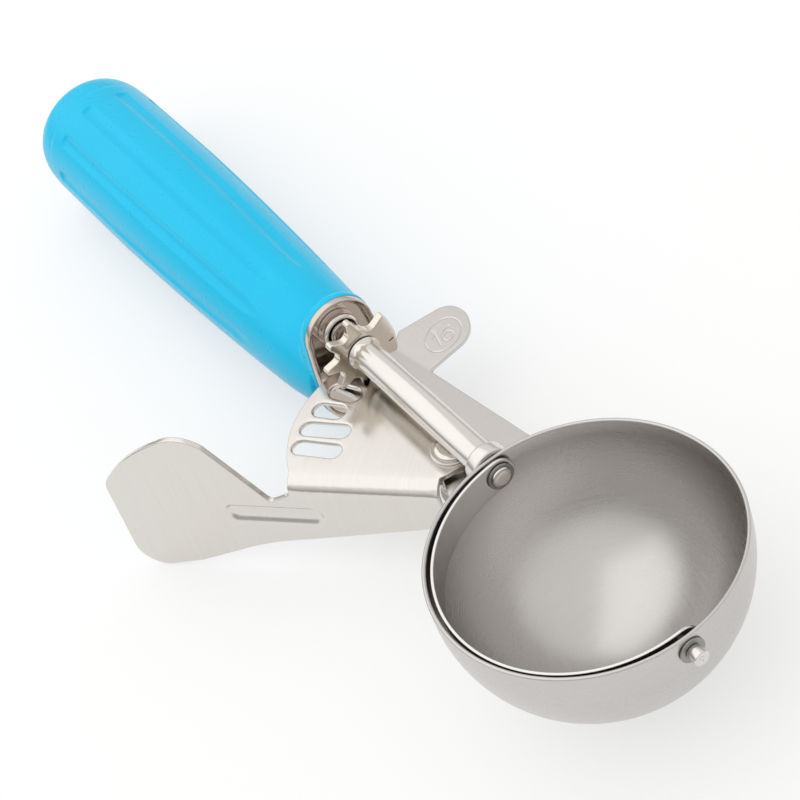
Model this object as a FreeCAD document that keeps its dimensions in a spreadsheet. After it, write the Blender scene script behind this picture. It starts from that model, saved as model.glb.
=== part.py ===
import FreeCAD, Part

# Lever ice cream scoop, in millimetres.
# The rod axis is X. The origin is the centre of the bowl's sphere on that axis.
# +X points to the bowl's front pivot, +Z out of the bowl's mouth, and the thumb lever is on -Y.

import math
import os
import re

import Sketcher

doc = FreeCAD.newDocument("IceCreamScoop")

# Driving dimensions. Names that end in "back" are distances behind the origin, and names that
# end in "drop" are distances below the rod axis.
DRIVING = {
    "running_fit": 0.05,
    "bowl_radius": 28.5,
    "bowl_wall": 0.8,
    "rim_height": 3.3,
    "blade_gap": 0.7,
    "blade_thick": 0.6,
    "blade_width": 6.8,
    "blade_tilt": 2.0,
    "shaft_radius": 2.0,
    "shaft_neck": 1.6,
    "tube_radius": 3.0,
    "tube_flare": 0.9,
    "tube_back": 71.9,
    "collar_radius": 4.2,
    "collar_length": 3.0,
    "front_pin_radius": 1.05,
    "front_pin_head": 1.5,
    "front_pin_length": 2.4,
    "pinion_back": 73.9,
    "pinion_thick": 1.8,
    "pinion_hub_radius": 3.7,
    "pinion_hub_length": 5.0,
    "tooth_radius": 8.4,
    "root_radius": 5.7,
    "valley_radius": 4.8,
    "lobe_corner": 8.2,
    "lobe_radius": 7.3,
    "tooth_pitch": 40.0,
    "tooth_tip": 1.1,
    "tooth_root": 2.5,
    "tooth_lead": 3.6,
    "lever_ratio": 4.1,
    "lever_pivot_back": 44.8,
    "lever_drop": 6.9,
    "lever_sheet": 1.2,
    "lever_turn": 39.3,
    "contact_radius": 28.2,
    "first_slot": 12.4,
    "slot_width": 3.6,
    "fan_radius": 23.6,
    "fan_tail_along": 24.48,
    "fan_tail_across": 23.66,
    "boss_radius": 5.79,
    "fold_inside": 2.0,
    "arm_offset": 10.5,
    "fold_start": 0.5,
    "fold_finish": 31.1,
    "pad_end": 70.9,
    "rib_half": 2.7,
    "pad_bottom_drop": 33.4,
    "plate_thick": 1.5,
    "spacer_thick": 0.8,
    "rivet_radius": 2.2,
    "rivet_head": 3.5,
    "washer_thick": 0.4,
    "wire_radius": 0.5,
    "coil_radius": 4.2,
    "coil_pitch": 1.5,
    "coil_turns": 3.25,
    "lever_leg": 17.0,
    "stop_leg": 10.0,
    "stop_radius": 1.2,
    "stop_side": 9.4,
    "tab_reach": 23.3,
    "tab_width": 12.4,
    "tang_width": 12.0,
    "tang_back": 140.0,
    "bulkhead_back": 80.8,
    "bulkhead_depth": 2.4,
    "bulkhead_recess": 1.6,
    "bulkhead_rim": 0.85,
    "arch_radius": 8.1,
    "belly_radius": 9.45,
    "belly_drop": 14.4,
    "bush_radius": 4.2,
    "bush_spigot": 2.9,
    "grip_drop": 12.5,
    "grip_back": 197.5,
    "grip_front_radius": 10.3,
    "grip_radius": 14.0,
    "grip_end_radius": 12.4,
    "flute_cutter": 3.2,
    "flute_depth": 0.5,
    "flute_count": 10,
    "flute_phase": -8.0,
}

# Dimensions that follow from the driving ones.
DERIVED = {
    "plate_drop": "lever_drop + lever_sheet + spacer_thick",
    "plate_under": "plate_drop + plate_thick",
    "blade_radius": "bowl_radius - bowl_wall - blade_gap",
    "front_pin_start": "bowl_radius + washer_thick + 2 * running_fit",
    "front_pin_reach": "front_pin_start + front_pin_length",
    "fold_outside": "fold_inside + lever_sheet",
    "slot_pitch": "tooth_pitch / lever_ratio",
    "first_tooth": "first_slot * lever_ratio - tooth_pitch + tooth_lead",
    "grip_front": "bulkhead_back + bulkhead_depth",
    "grip_length": "grip_back - grip_front",
    "tube_bore": "shaft_radius + running_fit",
    "head_radius": "rivet_head + 0.8",
}

sheet = doc.addObject("Spreadsheet::Sheet", "Sizes")
for row, (alias, number) in enumerate(DRIVING.items(), start=1):
    sheet.set(f"A{row}", alias)
    sheet.set(f"B{row}", str(number))
    sheet.setAlias(f"B{row}", alias)
doc.recompute()
for row, (alias, formula) in enumerate(DERIVED.items(), start=len(DRIVING) + 1):
    sheet.set(f"A{row}", alias)
    sheet.set(f"B{row}", "=" + formula)
    sheet.setAlias(f"B{row}", alias)
    doc.recompute()

ALIASES = set(DRIVING) | set(DERIVED)
parts = []


def bound(formula):
    """The formula with each size pointing at its cell."""
    return re.sub(r"[A-Za-z_]\w*", lambda word: "Sizes." + word[0] if word[0] in ALIASES else word[0],
                  str(formula))


def value(formula):
    """The formula's present value as a plain number."""
    found = sheet.evalExpression(bound(formula))
    return float(found.Value if hasattr(found, "Value") else found)


def keep(item, label):
    """Names a finished piece and lists it for writing out."""
    item.Label = label
    parts.append(item)
    return item


def put(item, x="0", y="0", z="0"):
    """Places an object at x, y, z."""
    for letter, formula in (("x", x), ("y", y), ("z", z)):
        item.setExpression("Placement.Base." + letter, bound(formula))


# Round stock and booleans

AXES = {"x": FreeCAD.Rotation(FreeCAD.Vector(0, 1, 0), 90), "z": FreeCAD.Rotation()}


def rod(name, radius, start, finish, axis="x", y="0", x="0"):
    """A cylinder along X from start to finish, or along Z with its axis at x, y."""
    item = doc.addObject("Part::Cylinder", name)
    item.setExpression("Radius", bound(radius))
    item.setExpression("Height", bound(f"({finish}) - ({start})"))
    item.Placement.Rotation = AXES[axis]
    if axis == "x":
        put(item, x=start, y=y)
    else:
        put(item, x=x, y=y, z=start)
    return item


def fuse(name, *items):
    item = doc.addObject("Part::MultiFuse", name)
    item.Shapes = list(items)
    return item


def cut(name, base, tool):
    item = doc.addObject("Part::Cut", name)
    item.Base = base
    item.Tool = tool
    return item


def ring(label, outer, inner, start, finish, **where):
    """A washer or sleeve: a round with a concentric hole."""
    whole = rod(label + "_round", outer, start, finish, **where)
    hole = rod(label + "_hole", inner, f"({start}) - 1", f"({finish}) + 1", **where)
    return keep(cut(label + "_ring", whole, hole), label)


# Sketches and the features made from them

def new_body(label):
    return keep(doc.addObject("PartDesign::Body", label), label)


def sketch_on(body, name, plane, lift="0"):
    """A sketch on one of the body's own planes, moved along the plane's normal by lift."""
    sketch = body.newObject("Sketcher::SketchObject", name)
    support = [item for item in body.Origin.OriginFeatures if item.Role == plane + "_Plane"]
    sketch.AttachmentSupport = [(support[0], "")]
    sketch.MapMode = "FlatFace"
    sketch.setExpression("AttachmentOffset.Base.z", bound(lift))
    return sketch


def limit(sketch, kind, places, formula):
    """A dimension of the sketch, bound to its formula."""
    index = sketch.addConstraint(Sketcher.Constraint(kind, *places, value(formula)))
    sketch.setExpression(f"Constraints[{index}]", bound(formula))


def pin_point(sketch, edge, end, x, y):
    """Fixes one end of an edge at x, y from the sketch's origin."""
    for kind, axis, formula in (("DistanceX", -2, x), ("DistanceY", -1, y)):
        if abs(value(formula)) < 1e-9:
            sketch.addConstraint(Sketcher.Constraint("PointOnObject", edge, end, axis))
        else:
            limit(sketch, kind, (-1, 1, edge, end), formula)


def arc_between(start, finish, radius, turn):
    """The short arc from start to finish that turns left (+1) or right (-1)."""
    chord = finish - start
    half = chord.Length / 2
    across = FreeCAD.Vector(-chord.y, chord.x, 0).normalize()
    centre = (start + finish) / 2 + across * turn * math.sqrt(max(radius ** 2 - half ** 2, 0))
    first, last = (start, finish) if turn > 0 else (finish, start)
    angles = [math.atan2(point.y - centre.y, point.x - centre.x) for point in (first, last)]
    circle = Part.Circle(centre, FreeCAD.Vector(0, 0, 1), radius)
    return Part.ArcOfCircle(circle, angles[0], angles[1])


def outline(sketch, corners):
    """A closed outline. A corner is (x, y), or (x, y, radius, turn) where an arc leaves it."""
    points = [FreeCAD.Vector(value(corner[0]), value(corner[1]), 0) for corner in corners]
    ends = []
    for index, corner in enumerate(corners):
        start, finish = points[index], points[(index + 1) % len(points)]
        if len(corner) == 4:
            edge = sketch.addGeometry(arc_between(start, finish, value(corner[2]), corner[3]), False)
            ends.append((edge, 1, 2) if corner[3] > 0 else (edge, 2, 1))
        else:
            edge = sketch.addGeometry(Part.LineSegment(start, finish), False)
            ends.append((edge, 1, 2))
    for index, corner in enumerate(corners):
        edge, first, last = ends[index]
        after, after_first, _ = ends[(index + 1) % len(ends)]
        sketch.addConstraint(Sketcher.Constraint("Coincident", edge, last, after, after_first))
        pin_point(sketch, edge, first, corner[0], corner[1])
        if len(corner) == 4:
            limit(sketch, "Radius", (edge,), corner[2])


def circle(sketch, x, y, radius):
    centre = FreeCAD.Vector(value(x), value(y), 0)
    edge = sketch.addGeometry(Part.Circle(centre, FreeCAD.Vector(0, 0, 1), value(radius)), False)
    pin_point(sketch, edge, 3, x, y)
    limit(sketch, "Radius", (edge,), radius)


def feature(body, kind, sketch, length=None, **settings):
    """Pad, Pocket, Revolution or Groove on a sketch."""
    item = body.newObject("PartDesign::" + kind, sketch.Name + kind)
    item.Profile = sketch
    for name, setting in settings.items():
        setattr(item, name, setting)
    if length is not None:
        item.setExpression("Length", bound(length))
    doc.recompute()
    return item


# Bowl and what is fixed to it

def make_bowl():
    """Half sphere with a short straight band and a rounded rim, turned about Z."""
    body = new_body("bowl")
    profile = sketch_on(body, "bowl_profile", "XZ")
    inner = "bowl_radius - bowl_wall"
    outline(profile, [
        ("0", "-bowl_radius", "bowl_radius", 1),
        ("bowl_radius", "0"),
        ("bowl_radius", "rim_height - bowl_wall / 2", "bowl_wall / 2 + 0.001", 1),
        (inner, "rim_height - bowl_wall / 2"),
        (inner, "0", inner, -1),
        ("0", f"-({inner})"),
    ])
    feature(body, "Revolution", profile, ReferenceAxis=(profile, ["V_Axis"]), Angle=360)
    for name, radius, backwards in (("front_hole", "front_pin_radius + running_fit", True),
                                    ("rear_hole", "tube_bore", False)):
        hole = sketch_on(body, name, "YZ")
        circle(hole, "0", "0", radius)
        before = body.Shape.Volume
        feature(body, "Pocket", hole, Type=1, Reversed=backwards)
        if body.Shape.Volume >= before:
            raise RuntimeError(name + " cuts nothing")


def make_bowl_fittings():
    """Washer under the front pin's head, and the collar that joins the tube to the bowl."""
    ring("front_washer", "front_pin_radius + 1.45", "front_pin_radius + running_fit",
         "bowl_radius + running_fit", "bowl_radius + running_fit + washer_thick")
    tube = rod("tube_round", "tube_radius", "-tube_back", "-bowl_radius")
    flare = doc.addObject("Part::Cone", "tube_mouth")
    flare.setExpression("Radius1", bound("tube_radius + tube_flare"))
    flare.setExpression("Radius2", bound("tube_radius"))
    flare.setExpression("Height", bound("3 * tube_flare"))
    flare.Placement.Rotation = AXES["x"]
    put(flare, x="-tube_back")
    bore = rod("tube_hole", "tube_bore", "-tube_back - 1", "-bowl_radius + 1")
    keep(cut("tube", fuse("tube_solid", tube, flare), bore), "shaft_tube")
    ring("tube_collar", "collar_radius", "tube_radius", "-bowl_radius - collar_length",
         "-bowl_radius")


# Frame

def make_frame_plate():
    """Stamped plate under the lever, with the number tab on +Y and the tang inside the grip."""
    body = new_body("frame_plate")
    shape = sketch_on(body, "plate_outline", "XY", "-plate_under")
    bowl_edge = "bowl_radius - 1.3"
    tab_front = "pinion_back - 7"
    tab_rear = "pinion_back - 7 + tab_width"
    step = "bulkhead_back - 0.5"
    outline(shape, [
        (f"-sqrt(({bowl_edge})^2 - 9.5^2)", "-9.5", bowl_edge, -1),
        (f"-sqrt(({bowl_edge})^2 - 14.3^2)", "14.3"),
        ("-bowl_radius", "14.3"),
        ("-lever_pivot_back", "12"),
        (f"-({tab_front}) + 2", "9.5", "2", -1),
        (f"-({tab_front})", "11.5"),
        (f"-({tab_front})", "tab_reach - tab_width / 2", "tab_width / 2 + 0.001", 1),
        (f"-({tab_rear})", "tab_reach - tab_width / 2"),
        (f"-({tab_rear})", "9"),
        (f"-({step})", "7.5"),
        (f"-({step})", "tang_width / 2"),
        ("-tang_back", "tang_width / 2"),
        ("-tang_back", "-tang_width / 2"),
        (f"-({step})", "-tang_width / 2"),
        (f"-({tab_rear})", "-6.7"),
        ("-pinion_back", "-5.2"),
        ("-lever_pivot_back + 2.8", "-5.2"),
        ("-bowl_radius - 1.5", "-9.5"),
    ])
    feature(body, "Pad", shape, "plate_thick")
    hole = sketch_on(body, "plate_rivet_hole", "XY", "-plate_drop")
    circle(hole, "-lever_pivot_back", "0", "rivet_radius")
    circle(hole, "-tang_back + 12", "0", "1.5")
    feature(body, "Pocket", hole, Type=1)


def make_solder():
    """Bead of hard solder in the corner between the plate's underside and the bowl."""
    bead = doc.addObject("Part::Torus", "solder_round")
    bead.setExpression("Radius1", bound("sqrt(bowl_radius^2 - plate_under^2) + 0.4"))
    bead.setExpression("Radius2", bound("1.1"))
    bead.Angle3 = 36
    bead.Placement.Rotation = FreeCAD.Rotation(FreeCAD.Vector(0, 0, 1), 158)
    put(bead, z="-plate_under")
    sphere = doc.addObject("Part::Sphere", "solder_sphere")
    sphere.setExpression("Radius", bound("bowl_radius"))
    slab = doc.addObject("Part::Box", "solder_slab")
    slab.setExpression("Length", bound("2 * bowl_radius"))
    slab.setExpression("Width", bound("2 * bowl_radius"))
    slab.setExpression("Height", bound("plate_thick + 3"))
    put(slab, x="-2 * bowl_radius", y="-bowl_radius", z="-plate_under")
    keep(cut("solder_bead", cut("solder_rest", bead, sphere), slab), "plate_solder")


def bulkhead_shape(sketch, inset):
    """Arch over the shaft with straight legs down to a rounder belly."""
    outline(sketch, [
        (f"arch_radius - {inset}", "0", f"arch_radius - {inset} + 0.001", 1),
        (f"-arch_radius + {inset}", "0"),
        (f"-belly_radius + {inset}", "-belly_drop", f"belly_radius - {inset} + 0.001", 1),
        (f"belly_radius - {inset}", "-belly_drop"),
    ])


def make_bulkhead():
    """Shallow pressed cup, open to the front, that carries the shaft and the grip."""
    body = new_body("bulkhead")
    outside = sketch_on(body, "bulkhead_outside", "YZ", "-grip_front")
    bulkhead_shape(outside, "0")
    feature(body, "Pad", outside, "bulkhead_depth")
    recess = sketch_on(body, "bulkhead_inside", "YZ", "-bulkhead_back")
    bulkhead_shape(recess, "bulkhead_rim")
    feature(body, "Pocket", recess, "bulkhead_recess")
    openings = sketch_on(body, "bulkhead_holes", "YZ", "-bulkhead_back")
    circle(openings, "0", "0", "bush_spigot")
    outline(openings, [
        ("-tang_width / 2", "-plate_drop"),
        ("tang_width / 2", "-plate_drop"),
        ("tang_width / 2", "-plate_under"),
        ("-tang_width / 2", "-plate_under"),
    ])
    feature(body, "Pocket", openings, Type=1)


def make_rear_bush():
    """Flanged bush in the bulkhead for the shaft's rear end."""
    floor_back = "bulkhead_back + bulkhead_recess"
    flange = rod("bush_flange", "bush_radius", f"-({floor_back})", "-bulkhead_back + 0.8")
    spigot = rod("bush_tail", "bush_spigot", "-grip_front", f"-({floor_back})")
    bore = rod("bush_bore", "tube_bore", "-grip_front - 1", "-bulkhead_back + 2")
    keep(cut("bush", fuse("bush_round", flange, spigot), bore), "rear_bearing_bush")


def cut_flute(body):
    """One flute: a round cutter of varying depth that turns about a line outside the grip."""
    profile = sketch_on(body, "flute", "XZ")
    full = "grip_radius - flute_depth"
    front, back = "grip_length * 0.166", "grip_length * 0.906"
    corners = [
        (front, "grip_radius + 1"),
        (front, "grip_radius - 2.22"),
        ("grip_length * 0.219", "grip_radius - 2.35"),
        ("grip_length * 0.464", "grip_radius - 1.23"),
        ("grip_length - 37.5", full),
        (f"{back} - 1.4", full, "1.4", 1),
        (back, f"{full} + 1.4"),
        (back, f"{full} + flute_cutter"),
    ]
    outline(profile, corners)
    ends = [FreeCAD.Vector(value(x), value(z), 0) for x, z in (corners[0], corners[-1])]
    centre_line = profile.addGeometry(Part.LineSegment(*ends), True)
    pin_point(profile, centre_line, 1, *corners[0])
    pin_point(profile, centre_line, 2, *corners[-1])
    before = body.Shape.Volume
    groove = feature(body, "Groove", profile, ReferenceAxis=(profile, ["Axis0"]), Angle=360)
    if body.Shape.Volume >= before:
        raise RuntimeError("the flute cuts nothing")
    return groove


def make_grip():
    """Plastic grip turned about its own axis, with tapering flutes that fade towards the front."""
    body = doc.addObject("PartDesign::Body", "grip_body")
    profile = sketch_on(body, "grip_profile", "XZ")
    outline(profile, [
        ("0", "0"),
        ("grip_length", "0"),
        ("grip_length", "grip_end_radius", "2.2", 1),
        ("grip_length - 1.8", "grip_radius - 0.1"),
        ("grip_length - 7.5", "grip_radius"),
        ("grip_length - 37.5", "grip_radius", "1340", 1),
        ("0.8", "grip_front_radius + 0.1"),
        ("0", "grip_front_radius - 0.7"),
    ])
    feature(body, "Revolution", profile, ReferenceAxis=(profile, ["H_Axis"]), Angle=360)
    groove = cut_flute(body)
    pattern = body.newObject("PartDesign::PolarPattern", "flutes")
    pattern.Originals = [groove]
    own_axis = [item for item in body.Origin.OriginFeatures if item.Role == "X_Axis"]
    pattern.Axis = (own_axis[0], [""])
    pattern.Angle = 360
    pattern.setExpression("Occurrences", bound("flute_count"))
    body.Tip = pattern
    turn_back = FreeCAD.Rotation(FreeCAD.Vector(0, 0, 1), 180)
    phase = FreeCAD.Rotation(FreeCAD.Vector(1, 0, 0), value("flute_phase"))
    body.Placement.Rotation = turn_back.multiply(phase)
    put(body, x="-grip_front", z="-grip_drop")
    space = doc.addObject("Part::Box", "tang_space")
    space.setExpression("Length", bound("tang_back - grip_front + 1"))
    space.setExpression("Width", bound("tang_width"))
    space.setExpression("Height", bound("plate_thick"))
    put(space, x="-tang_back", y="-tang_width / 2", z="-plate_under")
    pin_space = rod("pin_space", "1.5", "-grip_drop - 6", "-plate_drop + 3", axis="z",
                    x="-tang_back + 12")
    keep(cut("grip", body, fuse("grip_spaces", space, pin_space)), "handle_grip")
    keep(rod("tang_rod", "1.5", "-grip_drop - 6", "-plate_drop + 3", axis="z",
             x="-tang_back + 12"), "tang_pin")


# Lever pivot on the frame

def make_pivot():
    """Rivet that carries the lever and the spring, its washers and the spring's stop."""
    centre = {"axis": "z", "x": "-lever_pivot_back"}
    washer_top = "-lever_drop + running_fit + washer_thick"
    tail = "-plate_under - coil_pitch * coil_turns - 2.2"
    head = rod("rivet_top", "rivet_head", washer_top, f"{washer_top} + 0.6", **centre)
    shank = rod("rivet_shank", "rivet_radius", f"{tail} - washer_thick", washer_top, **centre)
    peen = rod("rivet_peen", "rivet_head", f"{tail} - washer_thick - 0.9",
               f"{tail} - washer_thick", **centre)
    keep(fuse("rivet", head, shank, peen), "lever_pivot_rivet")
    ring("pivot_washer", "head_radius", "rivet_radius", "-lever_drop + running_fit", washer_top,
         **centre)
    ring("pivot_spacer", "head_radius", "rivet_radius", "-plate_drop",
         "-plate_drop + spacer_thick - running_fit", **centre)
    ring("spring_washer", "coil_radius + 1", "rivet_radius", f"{tail} - washer_thick", tail, **centre)
    keep(rod("stop_rod", "stop_radius", f"{tail} + 0.6", "-plate_under", axis="z",
             x="-lever_pivot_back - 3.2", y="stop_side"), "spring_stop")


# Turning shaft with pinion and blade

def make_shaft():
    """Rod from the rear bush into the bowl, with a neck and a peened end inside the blade."""
    shoulder = "-blade_radius - running_fit"
    washer_back = "-blade_radius + blade_thick + 3 * running_fit"
    washer_front = f"{washer_back} + washer_thick"
    stem = rod("shaft_stem", "shaft_radius", "-grip_front + 0.2", shoulder)
    neck = rod("shaft_tip", "shaft_neck", shoulder, washer_front)
    peen = rod("shaft_peen", "shaft_neck + 0.6", washer_front, f"{washer_front} + 0.7")
    keep(fuse("shaft", stem, neck, peen), "sweep_shaft")
    ring("blade_washer", "shaft_neck + 1.1", "shaft_neck", washer_back, washer_front)
    ring("pinion_hub", "pinion_hub_radius", "shaft_radius", "-pinion_back - pinion_hub_length",
         "-pinion_back")
    ring("shaft_retaining_ring", "shaft_radius + 0.9", "shaft_radius", "-bulkhead_back + 1",
         "-bulkhead_back + 1.6")


def polar(radius, angle):
    """A point of the pinion, at an angle from straight down towards -Y."""
    return (f"-({radius}) * sin({angle})", f"-({radius}) * cos({angle})")


def make_pinion():
    """Stamped plate: five teeth on the lever's side, then a deep valley and a plain lobe."""
    body = new_body("pinion")
    shape = sketch_on(body, "pinion_outline", "YZ", "-pinion_back")
    corners = []
    for tooth in range(5):
        middle = f"first_tooth + {tooth} * tooth_pitch"
        root_half = "asin(tooth_root / 2 / root_radius) / 1deg"
        tip_half = "asin(tooth_tip / 2 / tooth_radius) / 1deg"
        corners.append(polar("root_radius", f"{middle} - {root_half}"))
        corners.append(polar("tooth_radius", f"{middle} - {tip_half}") + ("tooth_radius", -1))
        corners.append(polar("tooth_radius", f"{middle} + {tip_half}"))
        corners.append(polar("root_radius", f"{middle} + {root_half}") + ("root_radius", -1))
    corners.append(polar("root_radius", "198"))
    corners.append(polar("valley_radius", "208"))
    corners.append(polar("valley_radius + 0.3", "222"))
    corners.append(polar("lobe_corner", "229") + ("1.2", -1))
    corners.append(polar("lobe_corner - 0.2", "237"))
    corners.append(polar("lobe_radius", "258") + ("lobe_radius", -1))
    corners.append(polar("lobe_radius", "285"))
    corners.append(polar("lobe_corner - 0.4", "306"))
    corners.append(polar("root_radius", "314") + ("root_radius", -1))
    outline(shape, corners)
    circle(shape, "0", "0", "shaft_radius")
    feature(body, "Pad", shape, "pinion_thick")


def make_blade():
    """Half ring of strip that sweeps the bowl, with an eyelet at each end."""
    body = new_body("sweep_blade")
    hoop = sketch_on(body, "blade_hoop", "XY")
    inner = "blade_radius - blade_thick"
    outline(hoop, [
        ("0", "-blade_radius", "blade_radius", 1),
        ("blade_radius", "0"),
        ("blade_radius", "blade_width / 2"),
        (inner, "blade_width / 2"),
        (inner, "0", inner, -1),
        ("0", f"-({inner})", inner, -1),
        (f"-({inner})", "0"),
        (f"-({inner})", "blade_width / 2"),
        ("-blade_radius", "blade_width / 2"),
        ("-blade_radius", "0", "blade_radius", 1),
    ])
    feature(body, "Pad", hoop, "blade_width", Midplane=True)
    for name, radius, backwards in (("blade_front_hole", "front_pin_radius", True),
                                    ("blade_rear_hole", "shaft_neck", False)):
        hole = sketch_on(body, name, "YZ")
        circle(hole, "0", "0", radius)
        feature(body, "Pocket", hole, Type=1, Reversed=backwards)
    corners = []
    for index, edge in enumerate(body.Shape.Edges, start=1):
        middle = edge.CenterOfMass
        along_x = edge.Length < value("blade_thick") + 0.01
        if along_x and middle.y > value("blade_width") / 2 - 0.1:
            corners.append(f"Edge{index}")
    square = body.Tip
    rounding = body.newObject("PartDesign::Fillet", "eyelet_rounds")
    rounding.Base = (square, corners)
    rounding.setExpression("Radius", bound("blade_width / 2 - 0.05"))
    body.setExpression("Placement.Rotation.Angle", bound("blade_tilt"))
    body.Placement.Rotation.Axis = FreeCAD.Vector(1, 0, 0)


def make_front_pin():
    """Pin through the bowl's front wall, peened over inside the blade's front eyelet."""
    inside = "blade_radius - blade_thick - 2 * running_fit"
    head = rod("pin_head", "front_pin_head", "front_pin_start", "front_pin_reach")
    shank = rod("pin_shank", "front_pin_radius", f"{inside} - 0.4", "front_pin_start")
    peen = rod("pin_peen", "front_pin_radius + 0.65", f"{inside} - 0.8", inside)
    dimple = rod("pin_dimple", "0.55", "front_pin_reach - 0.5", "front_pin_reach + 1")
    keep(cut("front_pin", fuse("front_pin_solid", head, shank, peen), dimple), "front_pivot_pin")


# Thumb lever and its spring

def lever_slot(sketch, number, lean, inwards):
    """A round ended slot through the contact circle at its own angle, leaning by lean."""
    around = value(f"first_slot + ({number} - 1) * slot_pitch - lever_turn")
    radius = value("contact_radius")
    centre = FreeCAD.Vector(math.cos(math.radians(around)), math.sin(math.radians(around)), 0) * radius
    heading = math.radians(around + lean)
    along = FreeCAD.Vector(math.cos(heading), math.sin(heading), 0)
    across = FreeCAD.Vector(-along.y, along.x, 0) * value("slot_width") / 2
    outwards = 4.4 - value("slot_width") / 2
    inner, outer = centre - along * inwards, centre + along * outwards
    corners = [inner - across, outer - across, outer + across, inner + across]
    half = "slot_width / 2 + 0.001"
    outline(sketch, [
        (str(corners[0].x), str(corners[0].y)),
        (str(corners[1].x), str(corners[1].y), half, 1),
        (str(corners[2].x), str(corners[2].y)),
        (str(corners[3].x), str(corners[3].y), half, 1),
    ])


def make_lever():
    """One bent sheet. Its own X runs along the fold to the pad, its own Y out through the arm."""
    body = new_body("thumb_lever")
    fold_line = "arm_offset - fold_outside"
    fan = sketch_on(body, "fan_outline", "XY", "-lever_drop - lever_sheet")
    outline(fan, [
        ("fold_finish", fold_line, "fan_radius", -1),
        ("fan_tail_along", "-fan_tail_across"),
        ("-boss_radius * sin(29.4)", "-boss_radius * cos(29.4)", "boss_radius", -1),
        ("-boss_radius * cos(18)", "boss_radius * sin(18)"),
        ("fold_start", fold_line),
    ])
    feature(body, "Pad", fan, "lever_sheet")
    slots = sketch_on(body, "fan_slots", "XY", "-lever_drop")
    for number, (lean, inwards) in enumerate(((12, 0.8), (12, 0.8), (10, 0.8), (4.4, 4.3), (-7.7, 4.3))):
        lever_slot(slots, number, lean, inwards)
    circle(slots, "0", "0", "rivet_radius + running_fit")
    feature(body, "Pocket", slots, Type=1)
    fold = sketch_on(body, "fold_section", "YZ", "fold_start")
    outline(fold, [
        (fold_line, "-lever_drop", "fold_outside + 0.001", -1),
        ("arm_offset", "-lever_drop - fold_outside"),
        ("arm_offset - lever_sheet", "-lever_drop - fold_outside", "fold_inside + 0.001", 1),
        (fold_line, "-lever_drop - lever_sheet"),
    ])
    feature(body, "Pad", fold, "fold_finish - fold_start")
    arm = sketch_on(body, "arm_outline", "XZ", "-arm_offset")
    bend = "-lever_drop - fold_outside"
    low = "-pad_bottom_drop"
    outline(arm, [
        ("fold_start", bend),
        ("fold_finish", bend),
        ("fold_finish + 3.9", f"{bend} - 1.9", "0.8", 1),
        ("fold_finish + 5", f"{bend} - 1.6"),
        ("fold_finish + 14.1", f"{bend} + 12.5", "7.8", -1),
        ("fold_finish + 23.5", f"{bend} + 13.5", "38", -1),
        ("pad_end - 2", f"{bend} + 2.8", "5", -1),
        ("pad_end - 0.4", f"{bend} - 1"),
        ("pad_end", f"{low} + 5.4", "5.6", -1),
        ("pad_end - 6", low),
        ("pad_end - 14", f"{low} + 1.8"),
        ("pad_end - 27", f"{low} + 7.1", "60", 1),
        ("fold_finish", f"{low} + 10.2"),
        ("fold_start", f"{low} + 16"),
    ])
    feature(body, "Pad", arm, "lever_sheet")
    rib = sketch_on(body, "arm_rib", "XZ", "-arm_offset")
    outline(rib, [
        ("fold_finish - 2", f"{bend} - 9", "rib_half + 0.05", -1),
        ("fold_finish - 2", f"{bend} - 9 + 2 * rib_half"),
        ("fold_finish + 12", f"{bend} - 9 + 2 * rib_half", "rib_half + 0.05", -1),
        ("fold_finish + 12", f"{bend} - 9"),
    ])
    feature(body, "Pad", rib, "0.7", Reversed=True)
    turn = FreeCAD.Rotation(FreeCAD.Vector(0, 0, 1), 180 + value("lever_turn"))
    body.Placement.Rotation = turn
    put(body, x="-lever_pivot_back")


def arc_from(start, heading, finish):
    """The arc that leaves start along heading and ends at finish, as an edge."""
    chord = finish - start
    length = chord.Length
    angle = heading.getAngle(chord)
    side = heading - chord * (heading.dot(chord) / length ** 2)
    middle = (start + finish) / 2 + side.normalize() * (length / 2 * math.tan(angle / 2))
    return Part.Arc(start, middle, finish).toShape()


def biarc(start, heading, finish, leaving):
    """Two arcs that join smoothly from start to finish."""
    chord = finish - start
    total = heading + leaving
    slack = 2 * (1 - heading.dot(leaving))
    reach = (-chord.dot(total) + math.sqrt(chord.dot(total) ** 2 + slack * chord.dot(chord))) / slack
    joint = (start + finish + (heading - leaving) * reach) / 2
    back = arc_from(finish, leaving * -1, joint)
    middle = back.valueAt((back.FirstParameter + back.LastParameter) / 2)
    return [arc_from(start, heading, joint), Part.Arc(joint, middle, finish).toShape()]


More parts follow.
